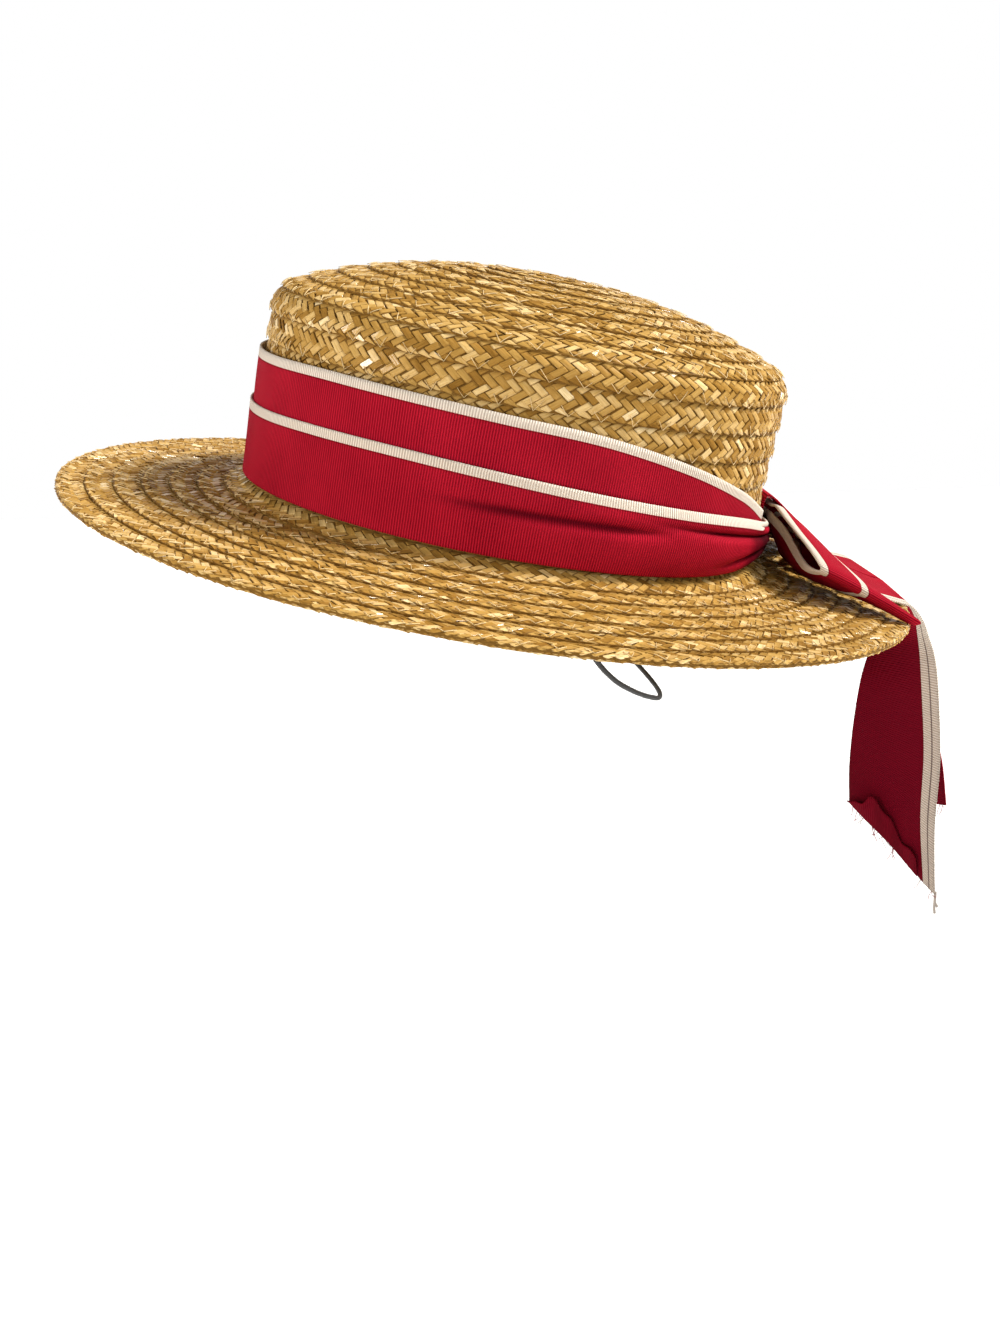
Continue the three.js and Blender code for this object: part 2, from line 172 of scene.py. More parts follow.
class Finish:
    """A material. All its nodes come from one method, and the short ones only call it."""

    def __init__(self, name):
        self.material = bpy.data.materials.new(name)
        self.material.use_nodes = True
        self.tree = self.material.node_tree
        self.tree.nodes.clear()

    def node(self, kind, settings=None, inputs=None, output=0):
        """Adds a node, sets its settings, then its sockets, and returns one output."""
        made = self.tree.nodes.new(kind)
        for key, value in (settings or {}).items():
            if key == "stops":
                ramp = made.color_ramp
                while len(ramp.elements) < len(value):
                    ramp.elements.new(0.5)
                for element, (position, colour) in zip(ramp.elements, value):
                    element.position, element.color = position, (*colour, 1)
            else:
                setattr(made, key, value)
        for key, value in (inputs or {}).items():
            if isinstance(value, Wire):
                self.tree.links.new(value.socket, made.inputs[key])
            else:
                made.inputs[key].default_value = value
        return Wire(self, made.outputs[output])

    def mix(self, share, one, other):
        """One colour where share is 0, the other where it is 1."""
        one, other = (c if isinstance(c, Wire) else (*c, 1) for c in (one, other))
        return self.node("ShaderNodeMix", {"data_type": "RGBA"},
                         {0: share, 6: one, 7: other}, output=2)

    def noise(self, where, scale, detail=2.0, roughness=0.5):
        return self.node("ShaderNodeTexNoise", {}, {
            "Vector": where, "Scale": scale, "Detail": detail, "Roughness": roughness})

    def relief(self, height, distance, strength=1.0):
        return self.node("ShaderNodeBump", {}, {
            "Height": height, "Distance": distance, "Strength": strength})

    def stored(self, key):
        """A value that add_piece stored on the points."""
        return self.node("ShaderNodeAttribute", {"attribute_name": key}, output=2)

    def flat(self):
        return self.node("ShaderNodeUVMap", {"uv_map": "flat"})

    def in_space(self):
        """The point in the object's own frame, in metres."""
        return self.node("ShaderNodeTexCoord", {}, output=3)

    def streaks(self, where, along, across, *noise):
        """Noise that is drawn out, because its map is scaled unevenly."""
        drawn = self.node("ShaderNodeMapping", {}, {
            "Vector": where, "Scale": (along, across, 1.0)})
        return self.noise(drawn, *noise)

    def finish(self, **sockets):
        """Ends the chain in a Principled shader; underscores in names stand for spaces."""
        inputs = {key.replace("_", " "): value for key, value in sockets.items()}
        shader = self.node("ShaderNodeBsdfPrincipled", {}, inputs)
        out = self.tree.nodes.new("ShaderNodeOutputMaterial")
        self.tree.links.new(shader.socket, out.inputs["Surface"])
        return self.material


print("wires and finishes are ready")

# %% [markdown]
# ## The straw's colours
# Each visible bit of split straw is its own colour, from brown to nearly white, and it shines
# like varnish along the fibre. The mesh carries a random tint for each bit, how deep the point
# lies in its row, which browns it with painted shade, and a UV map that runs along the fibre, so
# the streaks follow the splint.

# %% Straw and thread
# The palest stops are partly painted highlight on a few bars, beside the straw's own random tone.
STRAW_STOPS = [(0.0, (0.16, 0.068, 0.010)), (0.25, (0.32, 0.165, 0.034)),
               (0.55, (0.51, 0.305, 0.085)), (0.82, (0.76, 0.54, 0.24)),
               (1.0, (0.97, 0.81, 0.50))]
SEAM_SHADE_BROWN, BAR_EDGE_SHADE_BROWN = (0.115, 0.052, 0.013), (0.10, 0.042, 0.010)
STRAW_RELIEF = 0.00022


def straw_finish(name, warm):
    """Tint picks the colour, depth paints shade into seams, streaks along the fibre give grain
    and relief.

    Only bright bars carry a coat of varnish; on dark ones it would look like grey haze."""
    straw = Finish(name)
    tint, depth, bend = (straw.stored(key) for key in ("tint", "depth", "bend"))
    streak = straw.streaks(straw.flat(), 1.0, 14.0, 0.55, 3.0, 0.6)
    blotch = straw.noise(straw.flat(), 0.35)
    picked = tint * 0.92 + streak * 0.52 + blotch * 0.16 - 0.32
    colour = straw.node("ShaderNodeValToRGB", {"stops": STRAW_STOPS}, {"Fac": picked})
    # Painted shade, with the seams' own darker straw: deep points, bar ends and the ground are
    # browned.
    colour = straw.mix(depth.rise(0.15, 1.0) * 0.80, colour, SEAM_SHADE_BROWN)
    # Painted shade along each bar's long edges, for the dark lines between bars.
    colour = straw.mix(bend.maths("ABSOLUTE").rise(0.78, 1.0) * 0.75, colour, BAR_EDGE_SHADE_BROWN)
    coat = (tint + streak - 0.80).rise(0.0, 0.5) * (1 - depth.rise(0.1, 0.6)) * 0.5
    round_top = 1 - bend * bend
    return straw.finish(
        Base_Color=straw.mix(0.10, colour, warm), Roughness=0.22 + streak * 0.25,
        Normal=straw.relief(round_top + streak * 0.30, STRAW_RELIEF),
        Specular_IOR_Level=0.02, Coat_Roughness=0.18, Coat_Weight=coat)


def thread_finish(name, scale, one, other, rougher, distance, strength):
    """Fine grains of two colours, with a relief to match."""
    thread = Finish(name)
    grain = thread.noise(thread.in_space(), scale)
    return thread.finish(Base_Color=thread.mix(grain, one, other),
                         Roughness=0.55 + grain * rougher,
                         Normal=thread.relief(grain, distance, strength))


# The second copy is a little browner: painted shade for the crown's inside and the brim's
# underside.
straw_gold = straw_finish("straw_gold", (0.52, 0.30, 0.05))
straw_painted_shade = straw_finish("straw_painted_shade", (0.42, 0.24, 0.06))
pale_thread = thread_finish("pale_thread", 2400.0, (0.62, 0.42, 0.17), (0.82, 0.64, 0.34),
                            0.2, 0.0001, 0.5)
print("straw materials:", straw_gold.name, straw_painted_shade.name, pale_thread.name)

# %% [markdown]
# ## The oval
# The hat is described as if it were round, and one function makes it oval: longer from front to
# back, a little longer towards the top, with the brim pushed forward and tilted down in front.

# %% Sizes and the oval
CROWN_LENGTH, CROWN_WIDTH, SIDE_HEIGHT, SIDE_LEAN = 198.4, 167.6, 63.5, 1.3
EDGE_RADIUS, EDGE_TURN, TIP_RISE = 12, math.radians(65), 17.7
BRIM_WIDTH, BRIM_FORWARD, BRIM_DROOP, BRIM_TILT = 68.6, 2.3, 5.3, 1.9
TURN_DEPTH, TURN_REACH, STRAW, ROW_STEP, CLEARANCE = 3.4, 4.5, 2.0, 0.9, 0.3
CROWN_ROWS, BRIM_ROWS = 16, 7
MEAN_RADIUS = (CROWN_LENGTH + CROWN_WIDTH) / 4
OVAL = (CROWN_LENGTH - CROWN_WIDTH) / 4


def on_oval(radius, angle, height):
    """Radius shrinks across and grows along by the stretch; the brim shifts and tilts."""
    lean = SIDE_LEAN * np.clip(height / SIDE_HEIGHT, 0, 1)
    stretch = (OVAL + lean) * np.minimum(1, radius / MEAN_RADIUS)
    out = np.maximum(0, (radius - MEAN_RADIUS) / BRIM_WIDTH)
    x = (radius - stretch) * np.sin(angle)
    y = (radius + stretch) * np.cos(angle) - BRIM_FORWARD * out
    return np.stack([x, y, height + BRIM_TILT * np.cos(angle) * out], -1)


print("the crown is", CROWN_LENGTH, "by", CROWN_WIDTH, "mm at its foot")

# %% [markdown]
# ## Two profiles
# The crown's profile runs up the side, round the edge and in to the middle of the tip. The
# brim's runs from the turn to the edge. We sample each finely and measure its length, so a
# place on it is simply a distance, with the radius, the height and the outward direction there.

# %% Profiles by distance


def brim_height(reach):
    """A quick turn that flattens out, plus an even droop."""
    turn = TURN_DEPTH * (1 - np.exp(-reach / TURN_REACH))
    return -turn - BRIM_DROOP * reach / BRIM_WIDTH - CLEARANCE


def measured(radius, height, way=1):
    """Returns the length of a profile and a function from distance to radius, height, normal.

    The normal points to the right of the way we go, or to its left where way is -1."""
    steps = np.hypot(np.diff(radius), np.diff(height))
    along = np.concatenate([[0], np.cumsum(steps)])
    slope_r, slope_h = np.gradient(radius, along), np.gradient(height, along)

    def place(distance):
        distance = np.clip(distance, 0, along[-1])
        return [np.interp(distance, along, v)
                for v in (radius, height, way * slope_h, -way * slope_r)]

    return along[-1], place


# The steps are much finer than the straw rows, so the measured distances are exact enough.
turn = np.linspace(0, EDGE_TURN, 60)
tip_radius = MEAN_RADIUS - EDGE_RADIUS * (1 - math.cos(EDGE_TURN))
tip_foot = SIDE_HEIGHT + EDGE_RADIUS * math.sin(EDGE_TURN)
tip_power = tip_radius / (math.tan(EDGE_TURN) * TIP_RISE)
inward = np.linspace(1, 0, 400)[1:]
crown_radius = np.concatenate([np.full(200, MEAN_RADIUS),
                               MEAN_RADIUS - EDGE_RADIUS * (1 - np.cos(turn)),
                               tip_radius * inward])
crown_height = np.concatenate([np.linspace(0, SIDE_HEIGHT, 201)[:-1],
                               SIDE_HEIGHT + EDGE_RADIUS * np.sin(turn),
                               tip_foot + TIP_RISE * (1 - inward ** tip_power)])
crown_length, on_crown = measured(crown_radius, crown_height)
reach = np.linspace(0, BRIM_WIDTH, 400)
brim_length, on_brim = measured(MEAN_RADIUS + reach, brim_height(reach), way=-1)
print("profiles:", round(crown_length, 1), "and", round(brim_length, 1), "mm long")

# %% [markdown]
# ## Plait made of splints
# Straw plait is a flat braid: splints lean both ways and pass over two and under two. So each
# row of it shows bands of short bars that lean one way, then the other. Each visible bar is a
# small arched solid. Rows overlap like roof tiles, so a bar also gets lower towards the tucked
# side of its row. One function lays all bars of all rows as whole arrays.

# %% Bars of split straw
ALONG = np.array([-1.0, -0.72, 0.72, 1.0])
ACROSS = np.array([-1.0, -0.80, 0.80, 1.0])
BAR_POINTS = len(ALONG) * len(ACROSS)
BAR_PITCH, RISE, BULGE = 4.0, 0.16, 0.32
# A band of bars is its middle as a share of the row, the way it leans, and its phase.
BANDS = ((0.02, 1, 0.25), (0.34, -1, 0.75), (0.66, 1, 0.25), (0.98, -1, 0.75))
# How much bars stray in length, width, turn, arch, roll, place in the row, and pitch.
STRAY = (0.05, 0.06, 0.04, 0.12, 0.13, 0.015, 0.10)
# A face is its offset, whether it looks out (1) or in (-1), and how much of the row step shows.
OUTSIDE, INSIDE = (0.0, 1, 1.0), (-STRAW - ROW_STEP, -1, -0.35)
# A shell is its profile, its length, its rows, and whether the foot of a row is its raised edge.
CROWN = (on_crown, crown_length, CROWN_ROWS, True)
BRIM = (on_brim, brim_length, BRIM_ROWS, False)


def quads_of(at):
    """Quads between the neighbours in a grid of point numbers."""
    return np.stack([at[:-1, :-1], at[1:, :-1], at[1:, 1:], at[:-1, 1:]], -1).reshape(-1, 4)


def bar_faces():
    """Quads over the top of one bar, and one many-sided face under it."""
    at = np.arange(BAR_POINTS).reshape(len(ALONG), len(ACROSS))
    rim = np.concatenate([at[:-1, 0], at[-1, :-1], at[:0:-1, -1], at[0, :0:-1]])
    return quads_of(at), rim[None, :]


def girth(place, row, width):
    """The way round the middle of a row."""
    return 2 * math.pi * place(np.array([(row + 0.5) * width]))[0][0]


def bulging(share):
    """A row is a little higher in its middle than at its edges."""
    return BULGE * (1 - np.minimum(np.abs(2 * share - 1), 1.1) ** 2)


def sinking(shown, sunk, row, raised_foot):
    """A row lies lower at its tucked side; the brim's first row hardly sinks."""
    sink = shown * ROW_STEP * sunk
    return sink if raised_foot else np.where(row < 1, sink * 0.15, sink)


def lay_plait(place, length, rows, raised_foot, face, seed, bands=BANDS, base=0.80, arch=0.60):
    """For every row, band and bar: a leaning parallelogram in (turn, distance), arched over.

    The bar's middle is at (turn, share of the row). Along and across it, the point moves by
    half the pitch sideways and by a share of the row up or down. Its top is a flat plate, bent
    down at both ends and tilted at random. Each row bulges, and sinks to its tucked side."""
    rng = np.random.default_rng(seed)
    offset, way, shown = face
    width = length / rows
    parts = []
    for row in range(rows):
        count = max(6, int(round(girth(place, row, width) / BAR_PITCH)))
        start = rng.random()
        for middle, lean, phase in bands:
            bars = np.tile([0, middle, lean, row, 1 / count], (count, 1))
            bars[:, 0] = (np.arange(count) + phase + start) / count
            parts.append(bars)
    turns, middle, lean, row, pitch = np.concatenate(parts).T[:, :, None, None]
    longer, wider, turned, higher, roll, moved, tipped = (
        rng.normal(0, spread, turns.shape) for spread in STRAY)
    s, w = ALONG[None, :, None], ACROSS[None, None, :]
    long_way, wide_way = s * (1.12 + longer), w * 0.5 * (0.96 + wider)
    turns = turns + pitch * (0.5 * (long_way + wide_way) + turned)
    share = middle + moved + RISE * lean * (long_way - wide_way)
    # Where a bar would stick out past its row's raised edge, it is cut off and bent down.
    if raised_foot:
        edge, share = np.clip((0.03 - share) / 0.10, 0, 1), np.clip(share, -0.01, 1.09)
        sunk = share
    else:
        edge, share = np.clip((share - 0.97) / 0.10, 0, 1), np.clip(share, -0.09, 1.01)
        sunk = 1 - share
    lift = arch * (1 + higher) * (1 - np.abs(s) ** 6 * 1.2) - 0.30 * w ** 8
    lift = lift + roll * w + tipped * s - 0.5 * edge + bulging(share)
    radius, height, normal_r, normal_h = place((row + share) * width)
    out = offset + way * (lift - base) - sinking(shown, sunk, row, raised_foot)
    radius = np.maximum(radius + normal_r * out, 0.02)
    level = on_oval(radius, 2 * math.pi * turns, height + normal_h * out)
    n = len(level)
    quads, rim = bar_faces()
    first = (np.arange(n) * BAR_POINTS)[:, None, None]
    # The bar leans one way or the other, so half of the bars need their faces turned over.
    flip = lean * way < 0
    tops = np.where(flip, (quads + first)[:, :, ::-1], quads + first)
    under = np.where(flip, rim + first, (rim + first)[:, :, ::-1])
    tint = np.clip(rng.beta(2.2, 2.4, n), 0, 1)
    shift = (rng.random((n, 2)) * 90)[:, :, None, None]
    grid = (n, len(ALONG), len(ACROSS))
    uv = np.stack([np.broadcast_to(shift[:, 0] + s * 1.2, grid),
                   np.broadcast_to(shift[:, 1] + w * 0.35, grid)], -1)
    # Depth for painted shade: highest at the row's tucked seam, at the bent rim and at the bars'
    # ends.
    seam = np.clip((sunk - 0.76) / 0.22, 0, 1)
    deep = np.clip(0.8 * seam ** 2 + edge * 0.35 + 0.6 * np.abs(s) ** 6, 0, 1)
    return {"level": level.reshape(-1, 3),
            "faces": [tops.reshape(-1, 4), under.reshape(-1, rim.shape[1])],
            "uv": uv.reshape(-1, 2), "tint": np.repeat(tint, BAR_POINTS),
            "depth": np.broadcast_to(deep, grid).reshape(-1),
            "bend": np.broadcast_to(w, grid).reshape(-1)}


crown_out = lay_plait(*CROWN, OUTSIDE, 3)
print("bars outside the crown:", len(crown_out["tint"]) // BAR_POINTS)

# %% [markdown]
# ## Ground under the bars
# Between the bars a real plait shows shaded straw, never daylight. So each shell of plait gets a
# closed ground: its profile is turned round the oval like a pot on a wheel.

# %% Turn a profile
GROUND_DEPTH, FOOT_HEIGHT, AROUND_CROWN = 0.62, -2.2, 120


def turn_profile(radius, height, around=200, poles=True):
    """Profile points by angles; with poles, the first and the last point are on the axis."""
    angle = np.linspace(0, 2 * math.pi, around, endpoint=False)
    ring = on_oval(radius[:, None], angle[None, :], height[:, None])
    at = np.arange(len(radius) * around).reshape(-1, around)
    body = at[1:-1] if poles else np.vstack([at, at[:1]])
    right = np.roll(body, -1, 1)
    quads = np.stack([body[:-1], body[1:], right[1:], right[:-1]], -1).reshape(-1, 4)
    if not poles:
        return ring.reshape(-1, 3), [quads]
    # Points 0 and 1 are the poles, which take the place of the whole first and last rings.
    shift = 2 - around
    first, last = at[1] + shift, at[-2] + shift
    return np.concatenate([ring[[0, -1]].mean(1), ring[1:-1].reshape(-1, 3)]), [
        quads + shift, np.stack([np.zeros_like(first), first, np.roll(first, -1)], -1),
        np.stack([np.ones_like(last), np.roll(last, -1), last], -1)]


def stepped(place, length, rows, raised_foot, face):
    """The profile under the bars: four points a row, sinking towards the tucked side."""
    offset, way, shown = face
    share = np.tile([0.0, 0.03, 0.55, 0.985] if raised_foot else [0.015, 0.45, 0.97, 1.0], rows)
    row = np.repeat(np.arange(rows), 4)
    radius, height, normal_r, normal_h = place((row + share) * length / rows)
    sunk = share if raised_foot else 1 - share
    out = offset - way * GROUND_DEPTH - sinking(shown, sunk, row, raised_foot)
    return radius + normal_r * out, height + normal_h * out


def joined(*groups):
    """Stacks several plaits, or a ground and its plaits, into one set of arrays."""
    keys = ("level", "uv", "tint", "depth", "bend")
    offset, total = 0, {key: [] for key in (*keys, "faces")}
    for group in groups:
        for key in keys:
            total[key].append(group[key])
        total["faces"] += [f + offset for f in group["faces"]]
        offset += len(group["level"])
    return {key: v if key == "faces" else np.concatenate(v) for key, v in total.items()}


def grounded(level, faces):
    """Gives a ground the same arrays as a plait: deep, dark with painted shade, and without
    streaks.
    """
    n = len(level)
    return {"level": level, "faces": faces, "uv": level[:, :2] * 0.2,
            "tint": np.full(n, 0.1), "depth": np.ones(n), "bend": np.zeros(n)}


out_r, out_h = stepped(*CROWN, OUTSIDE)
in_r, in_h = stepped(*CROWN, INSIDE)
out_r[-1] = in_r[-1] = 0
out_h[0] = in_h[0] = FOOT_HEIGHT
crown_ground = turn_profile(np.maximum(np.concatenate([out_r[::-1], in_r]), 0),
                            np.concatenate([out_h[::-1], in_h]), around=AROUND_CROWN)
print("the crown's ground has", len(crown_ground[0]), "points")

# %% [markdown]
# ## Crown and brim
# The outside of the crown, its inside and the ground between them are a piece each, because
# each piece is kept under 200,000 triangles. The brim is made in the same way, but the raised
# edge is on the outer side of each row, and its lower layer faces down. Its rim gets one more
# row of bars, wrapped round it.

# %% Crown pieces


def dress(name, arrays, finish, node):
    """Puts a set of plait arrays into the scene in place of a solid."""
    add_piece(name, node, "straw", arrays["level"], arrays["faces"], finish, uv=arrays["uv"],
              values={key: arrays[key] for key in ("tint", "depth", "bend")}, smooth=False)


dress("crown_plait", crown_out, straw_gold, "crown")
dress("crown_shell", grounded(*crown_ground), straw_gold, "crown")
dress("crown_inside_plait", lay_plait(*CROWN, INSIDE, 5), straw_painted_shade, "crown")

# %% Brim pieces
brim_up = lay_plait(*BRIM, OUTSIDE, 7)
brim_down = lay_plait(*BRIM, INSIDE, 11)
up_r, up_h = stepped(*BRIM, OUTSIDE)
down_r, down_h = stepped(*BRIM, INSIDE)
roll_r = np.array([up_r[-1] - 0.1, up_r[-1] + 0.1, up_r[-1] - 0.1])
roll_h = np.array([up_h[-1] * 0.75 + down_h[-1] * 0.25, (up_h[-1] + down_h[-1]) / 2,
                   up_h[-1] * 0.25 + down_h[-1] * 0.75])
brim_ground = turn_profile(np.concatenate([up_r, roll_r, down_r[::-1]])[::-1],
                           np.concatenate([up_h, roll_h, down_h[::-1]])[::-1], poles=False)
edge_turn = np.radians(np.linspace(105, -105, 60))
edge_r = MEAN_RADIUS + BRIM_WIDTH - 1.3 + 1.35 * np.cos(edge_turn)
edge_h = (up_h[-1] + down_h[-1]) / 2 + 1.45 * np.sin(edge_turn)
edge_length, on_edge = measured(edge_r, edge_h, way=-1)
rim_bars = lay_plait(on_edge, edge_length, 1, False, (0.25, 1, 0.0), 13,
                     bands=((0.25, 1, 0.25), (0.75, -1, 0.75)))
dress("brim_plait", joined(grounded(*brim_ground), brim_up, rim_bars), straw_gold, "brim")
dress("brim_underside_plait", brim_down, straw_painted_shade, "brim")

# %% [markdown]
# ## Sewing thread
# The plait is sewn to itself in a spiral with a pale thread, which shows as small V marks
# across each seam. Each leg of a mark is a thin three-sided tube along a straight line.

# %% Stitches
STITCH_PITCH, THREAD = 10.8, 0.17


def sew(place, length, rows, raised_foot, seed):
    """Legs run from the raised edge of a row up and sideways onto the row, over the bars."""
    rng = np.random.default_rng(seed)
    width = length / rows
    marks = []
    for row in range(rows):
        around = girth(place, row, width)
        count = int(around / STITCH_PITCH)
        if count < 4:
            continue
        turns = (np.arange(count) + rng.random()) / count
        marks.append(np.stack([turns, np.full(count, row), np.full(count, around)], -1))
    turns, row, around = np.repeat(np.concatenate(marks), 2, 0).T
    n = len(turns)
    way = np.tile([-1.0, 1.0], n // 2)
    slide = way * rng.uniform(1.4, 3.4, n) / around
    rise = rng.uniform(0.22, 0.42, n)
    t = np.linspace(0, 1, 4)[None, :]
    centre = turns[:, None] + slide[:, None] * t
    sunk = -0.03 + rise[:, None] * t
    share = sunk if raised_foot else 1 - sunk
    lift = 0.12 * np.sin(math.pi * np.clip(t, 0.12, 0.9)) - 0.12 + bulging(share)
    points = []
    for corner in range(3):
        turn_by = 2 * math.pi * corner / 3
        r, h, nr, nh = place((row[:, None] + share) * width)
        out = lift + THREAD * math.cos(turn_by) - ROW_STEP * np.clip(sunk, 0, 1)
        sway = THREAD * math.sin(turn_by) / r / (2 * math.pi)
        points.append(on_oval(r + nr * out, 2 * math.pi * (centre + sway), h + nh * out))
    level = np.stack(points, 2).reshape(-1, 3)
    at = np.arange(n * 12).reshape(n, 4, 3)
    right = np.roll(at, -1, 2)
    quads = np.stack([at[:, :-1], right[:, :-1], right[:, 1:], at[:, 1:]], -1)
    turned_over = (way > 0) if raised_foot else (way < 0)
    quads = np.where(turned_over[:, None, None, None], quads, quads[..., ::-1]).reshape(-1, 4)
    return level, [quads, at[:, 0][:, ::-1], at[:, -1]]


for name, node, shell, seed in (("crown_stitches", "crown", CROWN, 21),
                                ("brim_stitches", "brim", BRIM, 23)):
    add_piece(name, node, "straw", *sew(*shell, seed), pale_thread)

# %% [markdown]
# ## Grosgrain ribbon
# The ribbon is red grosgrain with a cream edge. Its ribs run across it, about one to the
# millimetre. The UV map is in millimetres, along the ribbon and away from its cream edge, so
# ribs and stripes keep their real size whatever way the ribbon turns.

# %% Ribbon finishes
RED, DEEP_RED, PAINTED_SHADE_RED, PAINTED_DEEP_SHADE_RED = (
    (0.55, 0.012, 0.032), (0.19, 0.001, 0.009), (0.100, 0.0008, 0.0065), (0.020, 0.001, 0.003))
CREAM, GROOVE_SHADE_CREAM, SHADED_CREAM = (0.88, 0.78, 0.66), (0.46, 0.36, 0.28), (0.14, 0.07, 0.05)
STRIPE_SHADOW_RED, GAP_SHADE_BROWN = (0.10, 0.002, 0.005), (0.05, 0.02, 0.02)
RIB_PITCH, RIB_RELIEF, STRIPE = 0.95, 0.00045, 3.4


def ribbon_finish(name, stripes, centre_line=None):
    """Stripes are (from, to) in millimetres from the cream edge; ribs repeat along the UV.

    The stored shade is painted shade: it darkens the red in two steps, from 0 to 1 and from 1 to
    2."""
    cloth = Finish(name)
    flat = cloth.flat()
    along, across = (cloth.node("ShaderNodeSeparateXYZ", {}, {"Vector": flat}, output=k)
                     for k in (0, 1))
    wobble = cloth.noise(flat, 0.05)
    rib = ((along + wobble * 0.8) * (2 * math.pi / RIB_PITCH)).maths("SINE") * 0.5 + 0.5
    weave = cloth.streaks(flat, 0.5, 4.0, 1.1, 3.0, 0.7)
    cloud = cloth.noise(flat, 0.045, 3.0)
    shade = cloth.stored("shade")
    # The ribs' grooves are darkened in colour as painted shade, mixed with the weave's own
    # mottling.
    tone = (rib * 0.62 + weave * 0.40 + cloud * 0.55 - 0.24).rise(0.0, 1.0)
    colour = cloth.mix(tone, DEEP_RED, RED)
    colour = cloth.mix(shade.rise(0.0, 1.0) * 0.93, colour, PAINTED_SHADE_RED)
    colour = cloth.mix(shade.rise(1.0, 2.0) * 0.9, colour, PAINTED_DEEP_SHADE_RED)
    bands = []
    for low, high in stripes:
        # A thin line of painted shadow just beyond each stripe's edge.
        line = across.rise(high, high + 0.15) * (1 - across.rise(high + 0.35, high + 0.7))
        colour = cloth.mix(line * 0.6, colour, STRIPE_SHADOW_RED)
        bands.append(across.rise(low - 0.12, low + 0.12)
                     * (1 - across.rise(high - 0.1, high + 0.1)))
    if bands:
        striped = bands[0]
        for band in bands[1:]:
            striped = striped.maths("MAXIMUM", band)
        # Painted shade in the grooves between the cream's ribs.
        pale = cloth.mix((rib * 0.9 + 0.25).rise(0.0, 1.0), GROOVE_SHADE_CREAM, CREAM)
        pale = cloth.mix(shade.rise(0.0, 2.0) * 0.9, pale, SHADED_CREAM)
        colour = cloth.mix(striped, colour, pale)
    # Painted shade: a dark line down the cream, where two cream edges lie apart.
    if centre_line is not None:
        near = 1 - (across - centre_line).maths("ABSOLUTE").rise(0.15, 0.45)
        colour = cloth.mix(near * 0.8, colour, GAP_SHADE_BROWN)
    return cloth.finish(
        Base_Color=colour, Roughness=0.60 + weave * 0.2, Specular_IOR_Level=0.03,
        Normal=cloth.relief(rib * 0.8 + weave * 0.35, RIB_RELIEF))


edged = ribbon_finish("red_grosgrain_cream_edge", [(-1, STRIPE)])
plain = ribbon_finish("red_grosgrain", [])
print("ribbon materials:", edged.name, plain.name)

# %% [markdown]
# ## A ribbon from two edges
# A ribbon is a grid of points, rows along it and columns across it. It gets its thickness along
# the surface's own normal, and its edges are closed, so it is a real thin solid.

# %% Curves and ribbons


def catmull_rom(a, b, c, d, f):
    """The smooth curve from b to c at the fraction f, with a and d as its neighbours."""
    return 0.5 * (2 * b + (c - a) * f + (2 * a - 5 * b + 4 * c - d) * f ** 2
                  + (3 * b - a - 3 * c + d) * f ** 3)


def smooth_rows(rows, count, closed=False):
    """A Catmull-Rom curve through the rows, sampled evenly in the row number."""
    rows = np.asarray(rows, float)
    if closed:
        padded = np.concatenate([rows[-1:], rows, rows[:2]])
        t = np.linspace(0, len(rows), count, endpoint=False)
    else:
        padded = np.concatenate([2 * rows[:1] - rows[1:2], rows, 2 * rows[-1:] - rows[-2:-1]])
        t = np.linspace(0, len(rows) - 1, count)
    cell = np.minimum(t.astype(int), len(padded) - 4)
    f = (t - cell).reshape((-1,) + (1,) * (rows.ndim - 1))
    return catmull_rom(*(padded[cell + k] for k in range(4)), f)


def normals_of(grid, closed=False):
    """The cross product of the steps along and across."""
    if closed:
        ahead = np.roll(grid, -1, 0) - np.roll(grid, 1, 0)
    else:
        ahead = np.gradient(grid, axis=0)
    normal = np.cross(ahead, np.gradient(grid, axis=1))
    return normal / np.maximum(np.linalg.norm(normal, axis=-1, keepdims=True), 1e-9)


